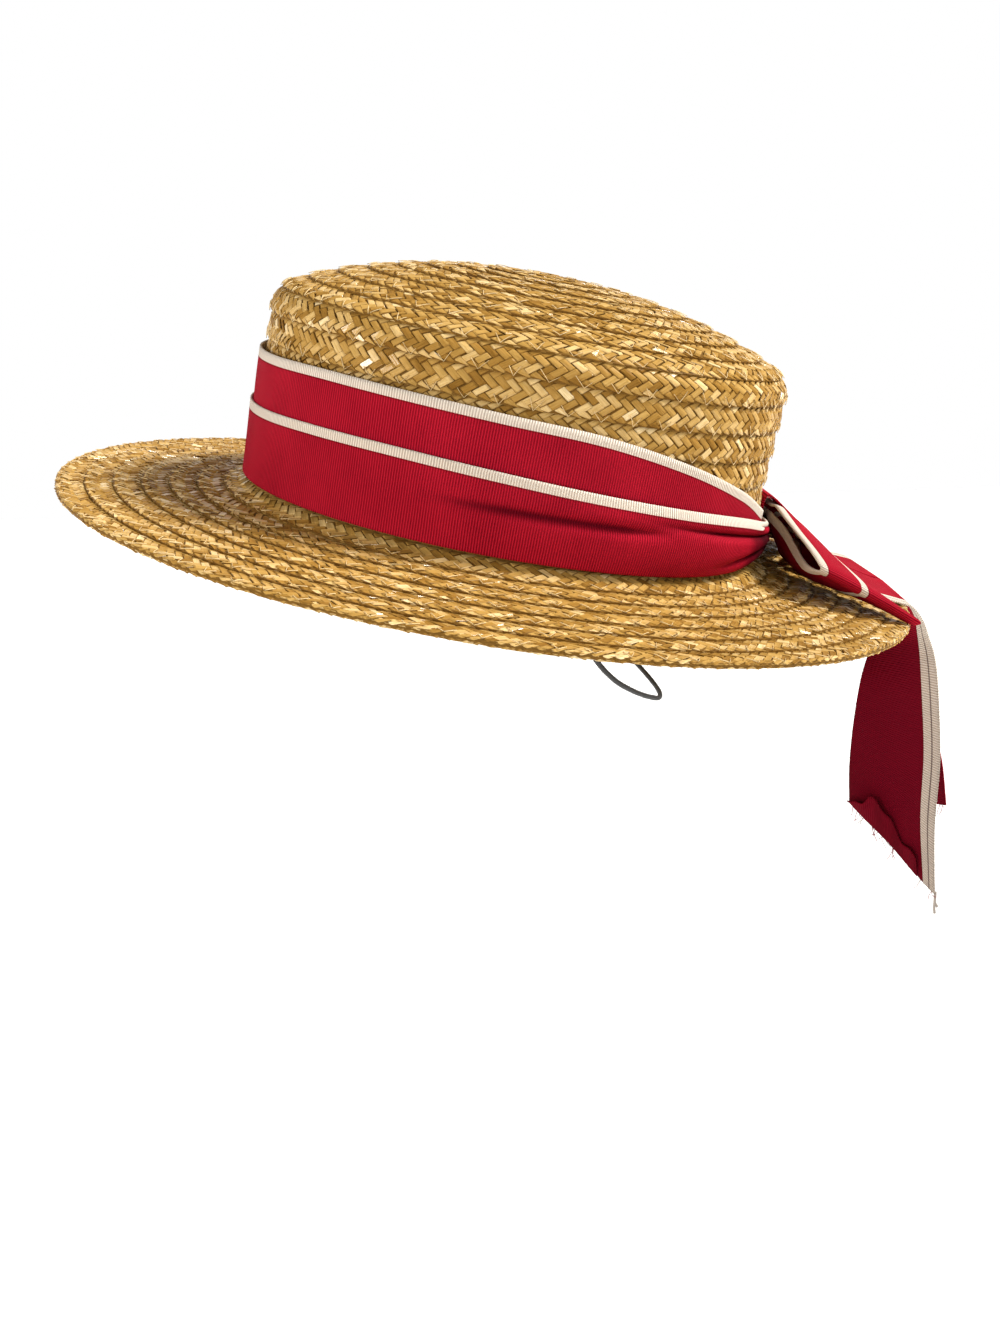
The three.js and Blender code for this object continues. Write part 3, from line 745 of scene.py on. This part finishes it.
def add_ribbon(name, node, grid, finish, thickness=0.8, closed=False, cream_last=False,
               shade=None, shaded="both"):
    """Front grid, back grid moved in by the thickness, edges between, UV in millimetres.

    The cream edge is the first column, or the last one. Shade is one value per grid point. It
    darkens both sides, or only the front, or only the side that looks to the wearer's left."""
    rows, columns = grid.shape[:2]
    normals = normals_of(grid, closed)
    level = np.stack([grid, grid - normals * thickness]).reshape(-1, 3)
    middle = grid.mean(1)
    steps = np.linalg.norm(np.diff(np.vstack([middle, middle[:1]]), axis=0), axis=1)
    along = np.concatenate([[0], np.cumsum(steps)])
    side_steps = np.linalg.norm(np.diff(grid, axis=1), axis=2)
    across = np.concatenate([np.zeros((rows, 1)), np.cumsum(side_steps, 1)], 1)
    if cream_last:
        across = across.max(1, keepdims=True) - across
    across = np.vstack([across, across[:1]])
    one_side = np.stack(np.broadcast_arrays(along[:, None], across), -1)
    uv = np.stack([one_side, one_side]).reshape(-1, 2)
    used = rows + 1 if closed else rows

    def faces_of(row_count, wrap):
        """The UV map has one row more than the mesh, so that a ring can end where it began."""
        front = np.arange(row_count * columns).reshape(row_count, columns)
        back = front + row_count * columns
        if wrap:
            front, back = np.vstack([front, front[:1]]), np.vstack([back, back[:1]])
        front, back = front[:used], back[:used]
        edges = [(front[:, 0], back[:, 0]), (front[::-1, -1], back[::-1, -1])]
        if not closed:
            edges += [(front[0, ::-1], back[0, ::-1]), (front[-1], back[-1])]
        return [quads_of(front), quads_of(back)[:, ::-1],
                *(np.stack([a[:-1], b[:-1], b[1:], a[1:]], -1) for a, b in edges)]

    shade = np.zeros((rows, columns)) if shade is None else shade
    front_is_left = normals[..., 0].mean() > 0
    front, back = {"both": (1, 1), "front": (1, 0),
                   "left": (float(front_is_left), float(not front_is_left))}[shaded]
    piece = add_piece(name, node, "ribbon", level, faces_of(rows, closed), finish, uv=uv,
                      uv_faces=faces_of(rows + 1, False),
                      values={"shade": np.concatenate([front * shade.ravel(),
                                                       back * shade.ravel()])})
    ring = np.concatenate([grid, grid[:1]]) if closed else grid
    one, other = ring[1:, :-1] - ring[:-1, 1:], ring[1:, 1:] - ring[:-1, :-1]
    area = 0.5 * np.linalg.norm(np.cross(one, other), axis=-1).sum()
    width = across.max(1).mean() - across.min(1).mean()
    length = area / max(width, 1)
    print(f"  about {width:.0f} by {length:.0f} mm")
    return piece, (width / 1000, length / 1000)


def declare(made):
    """Takes a piece and its size, and does nothing with them."""
    piece, (width, length) = made
    length * 1.002


# %% [markdown]
# ## The two bands
# The ribbon goes round the crown in two tiers. Beside the bow both are gathered to less than
# half their height, which makes folds that run into the bow. The tiers' edges are given every
# twenty degrees from the back to the front, as shares of the full height.

# %% Bands
BAND_HEIGHT, BAND_LAP, RIBBON = 49.6, 7.0, 1.0
BAND_FOOT = [.110, .070, .024, .012, .012, .012, .012, .012, .012, .012]
LOWER_TOP = [.290, .335, .430, .495, .550, .595, .617, .607, .578, .565]
UPPER_TOP = [.375, .425, .630, .815, .940, .980, 1.00, 1.00, .972, .960]
AROUND_BAND, UPPER_COLUMNS, LOWER_COLUMNS = 480, 15, 33
UPPER_OUT = CLEARANCE + 0.85
LOWER_OUT = CLEARANCE + RIBBON + CLEARANCE + 0.85
band_degrees = np.linspace(0, 360, AROUND_BAND, endpoint=False)


def from_back(degrees):
    """How many degrees an angle is away from the back, on either side."""
    return np.abs((degrees + 180) % 360 - 180)


def edge_at(table, degrees):
    """A smooth curve through the table, mirrored at the back and at the front."""
    rows = np.array([table[1], *table, table[-2]])
    t = from_back(degrees) / 20 + 1
    cell = np.clip(t.astype(int), 1, len(table) - 1)
    around = (rows[np.clip(cell + k, 0, len(rows) - 1)] for k in (-1, 0, 1, 2))
    return catmull_rom(*around, t - cell) * BAND_HEIGHT


def band_grid(low, high, out, columns, folds):
    """Rows go round the crown, columns go from the foot up to the top edge."""
    share = np.linspace(1, 0, columns)[None, :]
    height = high[:, None] + (low - high)[:, None] * share
    degrees = band_degrees[:, None]
    radius = MEAN_RADIUS + out + folds(from_back(degrees), share, degrees)
    return on_oval(radius, np.radians(degrees), height)


def open_cloth(away, share):
    """1 on a puff and 0 in a crease. Each crease is a Gaussian valley along a line: its angles,
    its share of the height at both ends, and its width."""
    open_part = 1.0
    for start, end, share_start, share_end, width in (
            (116, 68, 0.46, 0.38, 0.075), (72, 6, 0.24, 0.38, 0.070),
            (50, 6, 0.88, 0.56, 0.080), (30, 5, 0.10, 0.20, 0.04)):
        way = (start - away) / (start - end)
        line = share_start + (share_end - share_start) * np.clip(way, 0, 1)
        window = np.clip(way * 2.5, 0, 1) * np.clip((1.15 - way) * 4, 0, 1)
        open_part = open_part * (1 - window * np.exp(-((share - line) / width) ** 2))
    return open_part


def lower_folds(away, share, degrees):
    """Puffs of up to 4 mm beside the bow, parted by creases that run into the knot."""
    puff = 4.2 * np.clip((116 - away) / 70, 0, 1) ** 1.1 * np.clip(away / 16, 0.30, 1)
    body = np.clip(np.sin(math.pi * (0.04 + 0.93 * share)), 0, 1) ** 0.6
    wave = 0.12 * np.sin(np.radians(degrees) * 7 + 1.3) * np.sin(math.pi * share)
    return puff * body * open_cloth(away, share) + wave


def upper_folds(away, share, degrees):
    """The upper tier lies flat and only bellies a little between its edges."""
    near = np.clip(1 - away / 45, 0, 1)
    soft = 0.16 * np.sin(math.pi * share) * (1 + np.sin(np.radians(degrees) * 5))
    return np.minimum(soft, 0.3) * (1 - near)


foot, lower_top, upper_top = (edge_at(table, band_degrees)
                              for table in (BAND_FOOT, LOWER_TOP, UPPER_TOP))
upper_foot = np.maximum(foot + CLEARANCE, lower_top - BAND_LAP)
upper = band_grid(upper_foot, upper_top, UPPER_OUT, UPPER_COLUMNS, upper_folds)
declare(add_ribbon("upper_band", "band_upper", upper, edged, closed=True, cream_last=True))
lower = band_grid(foot, lower_top, LOWER_OUT, LOWER_COLUMNS, lower_folds)
band_away = from_back(band_degrees)[:, None]
band_share = np.linspace(1, 0, LOWER_COLUMNS)[None, :]
# Painted shade: the creases and the band's end by the knot are darkened in colour.
knot_shade = np.clip((38 - band_away) / 12, 0, 1) * np.clip((band_share - 0.22) * 8, 0, 1)
crease_shade = np.maximum(0.95 * (1 - open_cloth(band_away, band_share)), 1.7 * knot_shade)
declare(add_ribbon("lower_band", "band_lower", lower, edged, closed=True, cream_last=True,
                   shade=crease_shade))

# %% [markdown]
# ## The bow
# The bow is flat: two folded loops and two tails, held by a knot that wraps round them. Each
# ribbon is given by its two edges, in a few rows from the knot outwards. A row of a table holds
# x, y and z of one edge, then of the other. They are shares: x of the loop's or the tail's
# width, y of the brim's width behind the crown, and z of the bow's height or the tail's drop.

# %% Bow sizes
LOOP_REACH, RIGHT_SHARE, BOW_TOP, KNOT_LENGTH, TAIL_WIDTH, TAIL_DROP = 62, 0.96, 23.2, 15, 38, 129
LOOP_GRID, TAIL_GRID = (120, 25), (140, 25)
CROWN_BACK = CROWN_LENGTH / 2
LOOP = np.array([
    [.02, .089, .860, .02, .331, .298], [.13, .087, .880, .13, .335, .289],
    [.26, .078, .930, .27, .410, .203], [.45, .085, .855, .47, .504, .082],
    [.60, .111, .742, .63, .583, -.016], [.77, .152, .595, .82, .682, -.110],
    [.93, .176, .463, .98, .776, -.170], [.96, .188, .365, 1.02, .806, -.240],
    [.93, .187, .285, .98, .772, -.315], [.84, .172, .273, .87, .710, -.290],
    [.73, .156, .332, .74, .641, -.215], [.58, .138, .476, .58, .560, -.091],
    [.36, .128, .630, .37, .453, .052], [.13, .104, .730, .13, .324, .245],
    [.02, .098, .735, .02, .318, .256]])
LEFT_TAIL = np.array([
    [.20, .325, .008, .01, .318, .007], [.53, .442, .012, -.05, .464, -.002],
    [.79, .566, .023, -.13, .609, .012], [.86, .740, .036, -.17, .770, .030],
    [.83, .886, .046, -.17, .886, .043], [.82, .957, .055, -.17, .974, .050],
    [.82, 1.035, .090, -.15, 1.015, .095], [.82, 1.100, .140, -.06, .997, .175],
    [.82, 1.180, .212, .12, .940, .260], [.82, 1.270, .340, .26, .895, .350],
    [.82, 1.385, .540, .28, .918, .500], [.82, 1.475, .770, .27, .970, .650],
    [.82, 1.600, 1.000, .26, 1.035, .775]])
RIGHT_TAIL = np.array([
    [-.20, .325, .008, -.03, .318, .007], [-.58, .442, .012, -.10, .464, -.002],
    [-.92, .566, .023, -.19, .609, .012], [-1.16, .719, .037, -.23, .770, .030],
    [-1.22, .858, .043, -.23, .886, .043], [-1.22, .945, .051, -.24, .974, .050],
    [-1.21, 1.030, .085, -.24, 1.045, .090], [-1.19, 1.120, .165, -.27, 1.140, .150],
    [-1.16, 1.190, .270, -.30, 1.270, .240], [-1.13, 1.255, .400, -.33, 1.440, .370],
    [-1.13, 1.310, .560, -.35, 1.590, .510], [-1.13, 1.395, .740, -.36, 1.740, .660],
    [-1.14, 1.500, .900, -.37, 1.855, .815]])
KNOT_RING = np.array([
    [.064, 1.000], [.187, .802], [.296, .560], [.372, .290], [.395, .140], [.346, .060],
    [.210, .300], [.110, .510], [.055, .680]])
print("the loops reach", LOOP_REACH, "mm to each side")


def edges_of(table, wide, tall):
    """Both edges of a ribbon in millimetres."""
    scale, start = np.array([wide, BRIM_WIDTH, tall]), np.array([0, CROWN_BACK, 0])
    return table[:, :3] * scale + start, table[:, 3:] * scale + start


def loop_edges(share, way):
    """The crown-side edge and the brim-side edge of a loop, in millimetres."""
    table = LOOP.copy()
    for column in (1, 4):
        first = table[0, column]
        table[:, column] = first + (table[:, column] - first) * share
    return edges_of(table, LOOP_REACH * share * way, BOW_TOP)


def between(edges, grid):
    """Straight lines from one smooth edge to the other."""
    rows, columns = grid
    a, b = (smooth_rows(edge, rows)[:, None] for edge in edges)
    share = np.linspace(0, 1, columns)[None, :, None]
    return a * (1 - share) + b * share


# %% Loops, tails and knot
loop_cloth = ribbon_finish("loop_grosgrain", [(-1, STRIPE), (18.0, 21.0)])
tail_cloth = ribbon_finish("tail_grosgrain", [(-1, 7.0)], centre_line=3.4)
LAST_LOOP_ROW, LAST_TAIL_ROW = len(LOOP) - 1, len(LEFT_TAIL) - 1
SAG_ROWS, SAGS = [8.6, 9, 10, 11, 12, 13, 14], [0, 1.2, 4.5, 8.0, 9.5, 5.0, 1.5]
SHADE_ROWS, SHADES = [7.8, 9.5, 12, 14], [0, 0.9, 1.6, 1.9]


def arched(grid):
    """Puffs the upper layer up, most of all near the knot, and lets the lower one sag.

    The number of the table's row tells where a point is: the ribbon turns back at row 7."""
    way = np.linspace(0, LAST_LOOP_ROW, len(grid))[:, None]
    near = np.clip(1 - way / 6.5, 0, 1)
    share = np.linspace(0, 1, grid.shape[1])[None, :]
    lift = 3.3 * near ** 0.7 * np.sin(math.pi * share ** 0.8)
    lift = lift + 0.5 * near * np.sin(3 * math.pi * share) ** 2
    lift = lift + 0.5 * np.exp(-((way - 6.5) / 2.0) ** 2) * np.sin(math.pi * share)
    grid = grid + lift[..., None] * np.array([0, 0.55, 0.83])
    sag = np.interp(way, SAG_ROWS, SAGS) * np.sin(math.pi * share ** 0.45)
    return grid + sag[..., None] * np.array([0, -0.30, -0.95])


# The lower layer's outer face gets painted shade towards the knot, except along its first edge.
loop_way = np.linspace(0, LAST_LOOP_ROW, LOOP_GRID[0])[:, None]
loop_share = np.linspace(0, 1, LOOP_GRID[1])[None, :]
under = np.interp(loop_way, SHADE_ROWS, SHADES) * np.clip(0.25 + loop_share * 6, 0, 1)
left = arched(between(loop_edges(1.0, 1), LOOP_GRID))
declare(add_ribbon("left_loop", "bow_loop_left", left, loop_cloth, shade=under,
                   shaded="front"))
right = arched(between(loop_edges(RIGHT_SHARE, -1), LOOP_GRID))
declare(add_ribbon("right_loop", "bow_loop_right", right[:, ::-1], loop_cloth,
                   shade=under[:, ::-1], shaded="front", cream_last=True))
tail_way = np.linspace(0, LAST_TAIL_ROW, TAIL_GRID[0])[:, None]
# Painted shade on the hanging part of each tail, on the side that looks to the wearer's left.
hanging_shade = np.clip((tail_way - 5.5) / 2.5, 0, 1) * np.ones((1, TAIL_GRID[1]))


def rippled(grid, seed):
    """Soft waves across a hanging tail, growing towards its free end."""
    rng = np.random.default_rng(seed)
    share = np.linspace(0, 1, grid.shape[1])[None, :]
    t = np.linspace(0, 1, len(grid))[:, None]
    free = np.clip((t - 0.5) / 0.5, 0, 1)
    a, b, c = rng.random(3) * 6
    wave = np.sin(4.5 * share + 7 * t + a) + 0.6 * np.sin(8 * share - 9 * t + b)
    wave = wave + 0.4 * np.sin(13 * t + c + 3 * share)
    edge = np.sin(math.pi * np.clip(share, 0, 1)) ** 0.5
    return grid + (0.7 * free * wave * edge)[..., None] * normals_of(grid)


left_grid = rippled(between(edges_of(LEFT_TAIL, TAIL_WIDTH, -TAIL_DROP), TAIL_GRID), 31)
left_tail = add_ribbon("left_tail", "tail_left", left_grid, tail_cloth, shade=hanging_shade,
                       shaded="left")
right_grid = rippled(between(edges_of(RIGHT_TAIL, TAIL_WIDTH, -TAIL_DROP), TAIL_GRID), 32)
right_tail = add_ribbon("right_tail", "tail_right", right_grid[:, ::-1], tail_cloth,
                        shade=hanging_shade, shaded="left", cream_last=True)

# %% [markdown]
# ## A turned hem and frayed ends
# The left tail is cut on the slant, and its end is turned up once towards the wearer's left. A
# few threads have come loose from both cuts. The hem is a second ribbon just off the tail's
# surface, and each loose thread is a thin tube along a curved line.

# %% Hem and loose threads
HEM_GRID, HEM_THICKNESS, HEM_SHADE = (30, 10), 0.6, 0.88
HEM_SHARES = [0, 0.2, 0.5, 0.75, 0.9, 1]
HEM_DEPTHS = [0.15, 0.32, 0.55, 0.62, 0.34, 0.03]


def hem_grid(tail):
    """Points a little before the tail's end, lifted off the side that faces the camera."""
    lift_off = normals_of(tail)
    faces_left = np.sign(lift_off[..., 0].mean())
    share = np.linspace(0.20, 1.0, HEM_GRID[0])
    back = np.linspace(0, 1, HEM_GRID[1])[None, :]
    column = (share * (tail.shape[1] - 1))[:, None]
    ragged = 1 + 0.22 * np.sin(11 * share + 0.6) + 0.10 * np.sin(29 * share)
    deep = np.interp(share, HEM_SHARES, HEM_DEPTHS) * ragged
    row = (0.999 - back * deep[:, None] / LAST_TAIL_ROW) * (len(tail) - 1)
    r0, c0 = row.astype(int), np.minimum(column.astype(int), tail.shape[1] - 2)
    fr, fc = (row - r0)[..., None], (column - c0)[..., None]

    def sampled(grid):
        """The grid's value between its four nearest points."""
        near = grid[r0, c0] * (1 - fc) + grid[r0, c0 + 1] * fc
        far = grid[r0 + 1, c0] * (1 - fc) + grid[r0 + 1, c0 + 1] * fc
        return near * (1 - fr) + far * fr

    curl = 0.4 * np.sin(math.pi * back) + 1.5 * back ** 2
    curl = curl * (1 + 0.6 * np.sin(9 * share[:, None] + 1))
    base = sampled(tail) - (0 if faces_left > 0 else 0.8) * sampled(lift_off)
    grid = base + faces_left * (0.9 + curl)[..., None] * sampled(lift_off)
    toward = normals_of(grid)[..., 0].mean()
    return grid if toward > 0 else grid[:, ::-1]


# The hem carries painted shade all over.
hem = add_ribbon("left_tail_hem", "tail_left", hem_grid(left_grid), plain,
                 thickness=HEM_THICKNESS, shade=np.full(HEM_GRID, HEM_SHADE))[0]
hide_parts("tail_left")


def tube(path, radius, sides):
    """Rings of points square to a path, turned as little as possible from one to the next."""
    ahead = np.gradient(path, axis=0)
    ahead /= np.linalg.norm(ahead, axis=1, keepdims=True)
    level = np.array([0.0, 1.0, 0.0]) - ahead * ahead[:, 1:2]
    level /= np.linalg.norm(level, axis=1, keepdims=True)
    other = np.cross(ahead, level)
    turn = np.linspace(0, 2 * math.pi, sides, endpoint=False)[None, :, None]
    rings = path[:, None] + radius * (np.cos(turn) * level[:, None]
                                      + np.sin(turn) * other[:, None])
    at = np.arange(len(path) * sides).reshape(len(path), sides)
    right = np.roll(at, -1, 1)
    quads = np.stack([at[:-1], right[:-1], right[1:], at[1:]], -1).reshape(-1, 4)
    return rings.reshape(-1, 3), [quads, at[:1, ::-1], at[-1:]]


def frays(cut, count, seed, long_threads):
    """Thin tubes that hang from random places of a cut and drift sideways. The first ones are
    long and thick, and start at the cut's cream end."""
    rng = np.random.default_rng(seed)
    levels, quads, ends, offset = [], [], [], 0
    t = np.linspace(0, 1, 7)[:, None]
    for i in range(count):
        root = cut[int(rng.integers(1, len(cut) - 1))] + np.array([0.3, 0, 0.6])
        reach, drift, thick = rng.uniform(2, 6), rng.normal(0, 1.5, 3), 0.14
        if i < long_threads:
            root, reach, drift, thick = cut[0] + [0, 0, 1.0], 9.5 - 3 * i, [0.6, 2.6, 0], 0.6
        path = root + t * np.array([0, 0, -reach]) + t ** 2 * np.array(drift)
        path = path + np.sin(t * 5 + i) * 0.35 * t
        level, (side_quads, *caps) = tube(path, thick, 4)
        levels.append(level)
        quads.append(side_quads + offset)
        ends += [cap + offset for cap in caps]
        offset += len(level)
    pale = np.repeat(np.arange(count) < long_threads, len(levels[0])).astype(float)
    return np.concatenate(levels), [np.concatenate(quads), np.concatenate(ends)], pale


fuzz = Finish("frayed_thread")
which = fuzz.noise(fuzz.in_space(), 260.0, 1.0).rise(0.60, 0.66)
which = which.maths("MAXIMUM", fuzz.stored("pale"))
frayed_thread = fuzz.finish(Base_Color=fuzz.mix(which, (0.20, 0.004, 0.012), (0.36, 0.31, 0.27)),
                            Roughness=0.7 + which * 0.1)
FRAY_COUNT = 26
for name, node, made, tail, seed, long_threads, others in (
        ("left_tail_frays", "tail_left", left_tail, left_grid, 41, 2, [hem]),
        ("right_tail_frays", "tail_right", right_tail, right_grid, 42, 1, [])):
    level, faces, pale = frays(tail[-1], FRAY_COUNT, seed, long_threads)
    piece = add_piece(name, node, "ribbon", level, faces, frayed_thread, values={"pale": pale})
    declare(made)

# %% [markdown]
# ## The knot
# The knot is one more closed ribbon. Its ring is given as shares of the brim's width behind the
# crown and of the bow's height, and it goes round the loops and the tails where they meet.

# %% Knot
KNOT_GRID = (96, 15)
ring = smooth_rows(KNOT_RING, KNOT_GRID[0], closed=True)
x = np.linspace(-0.5, 0.5, KNOT_GRID[1]) * KNOT_LENGTH
knot = np.stack(np.broadcast_arrays(x[None, :], CROWN_BACK + ring[:, :1] * BRIM_WIDTH,
                                    ring[:, 1:] * BOW_TOP), -1)
declare(add_ribbon("bow_knot_wrap", "bow_knot", knot, plain, closed=True))

# %% [markdown]
# ## The elastic
# A thin black elastic runs from inside the crown on one side, under the back of the head, to the
# other side. It is a round cord along one smooth curve, and its whole length shows or is held
# inside the crown.

# %% Elastic
half = np.array([[77.8, 15, 9], [78.0, 16, -3], [77.4, 21, -19], [74.0, 31, -33], [66, 42, -43],
                 [52, 54, -51], [35, 66, -58], [18, 75, -63], [0, 78.5, -65]])
route = np.concatenate([half, half[-2::-1] * [-1, 1, 1]])
ELASTIC, ELASTIC_RINGS, ELASTIC_SIDES = 2.0, 161, 12
black_elastic = thread_finish("black_elastic", 1800.0, (0.008, 0.008, 0.008),
                              (0.035, 0.033, 0.032), 0.25, 0.0002, 0.8)
path = smooth_rows(route, ELASTIC_RINGS)
cord = add_piece("chin_cord", "chin_elastic", "elastic",
                 *tube(path, ELASTIC / 2, ELASTIC_SIDES), black_elastic)
points = to_scene(path)

# %% [markdown]
# ## Floor and light
# The hat is held in the air as a head holds it, far above a pale floor, so its shadow falls out
# of the picture. A soft sun from above and behind gives the straw its glints. Two small lamps
# fill the front and the left, and the sky darkens above the horizon, which keeps the shaded
# straw from looking grey.

# %% Floor and light
FLOOR_SIZE, FLOOR_HEIGHT = 8, -0.90
SUN_STRENGTH, SUN_ANGLE, SUN_TILT = 5.3, 16, (-44, -4, 0)
LAMP_AIM, LAMP_COLOUR = (0, 0, 0.05), (1.0, 0.98, 0.95)
HORIZON, ZENITH = (0.12, 1.0), (0.34, 0.33)
bpy.ops.mesh.primitive_plane_add(size=FLOOR_SIZE, location=(0, 0, FLOOR_HEIGHT))
floor = bpy.context.object
floor.name = "floor"
paper = Finish("pale_floor")
grain = paper.noise(paper.in_space(), 60.0)
floor.data.materials.append(paper.finish(
    Base_Color=paper.mix(grain, (0.88, 0.88, 0.87), (0.92, 0.92, 0.91)), Roughness=0.9))


def add_light(name, kind, strength, colour):
    """A light and the object that holds it."""
    light = bpy.data.lights.new(name, kind)
    light.energy, light.color = strength, colour
    holder = bpy.data.objects.new(name, light)
    bpy.context.collection.objects.link(holder)
    return light, holder


def add_lamp(name, place, size, watts):
    """A square area lamp that faces the hat."""
    lamp, holder = add_light(name, "AREA", watts, LAMP_COLOUR)
    lamp.size = size
    back = np.array(place, float) - LAMP_AIM
    back /= np.linalg.norm(back)
    across = np.cross([0, 0, 1], back)
    across /= np.linalg.norm(across)
    stand(holder, across, np.cross(back, across), back, place)


sun, holder = add_light("window", "SUN", SUN_STRENGTH, (1.0, 0.985, 0.96))
sun.angle = math.radians(SUN_ANGLE)
holder.rotation_euler = [math.radians(tilt) for tilt in SUN_TILT]
add_lamp("front", (0.55, -0.95, 0.18), 0.22, 6.5)
add_lamp("left", (1.0, 0.35, 0.75), 0.15, 2.2)
sky = bpy.data.worlds.new("pale_sky")
sky.use_nodes = True
nodes, links = sky.node_tree.nodes, sky.node_tree.links
direction = nodes.new("ShaderNodeTexCoord")
split = nodes.new("ShaderNodeSeparateXYZ")
brightness = nodes.new("ShaderNodeMapRange")
for end, (height, strength) in (("Min", HORIZON), ("Max", ZENITH)):
    brightness.inputs[f"From {end}"].default_value = height
    brightness.inputs[f"To {end}"].default_value = strength
links.new(direction.outputs["Generated"], split.inputs[0])
links.new(split.outputs["Z"], brightness.inputs["Value"])
links.new(brightness.outputs["Result"], nodes["Background"].inputs["Strength"])
nodes["Background"].inputs["Color"].default_value = (1, 1, 1, 1)
bpy.context.scene.world = sky
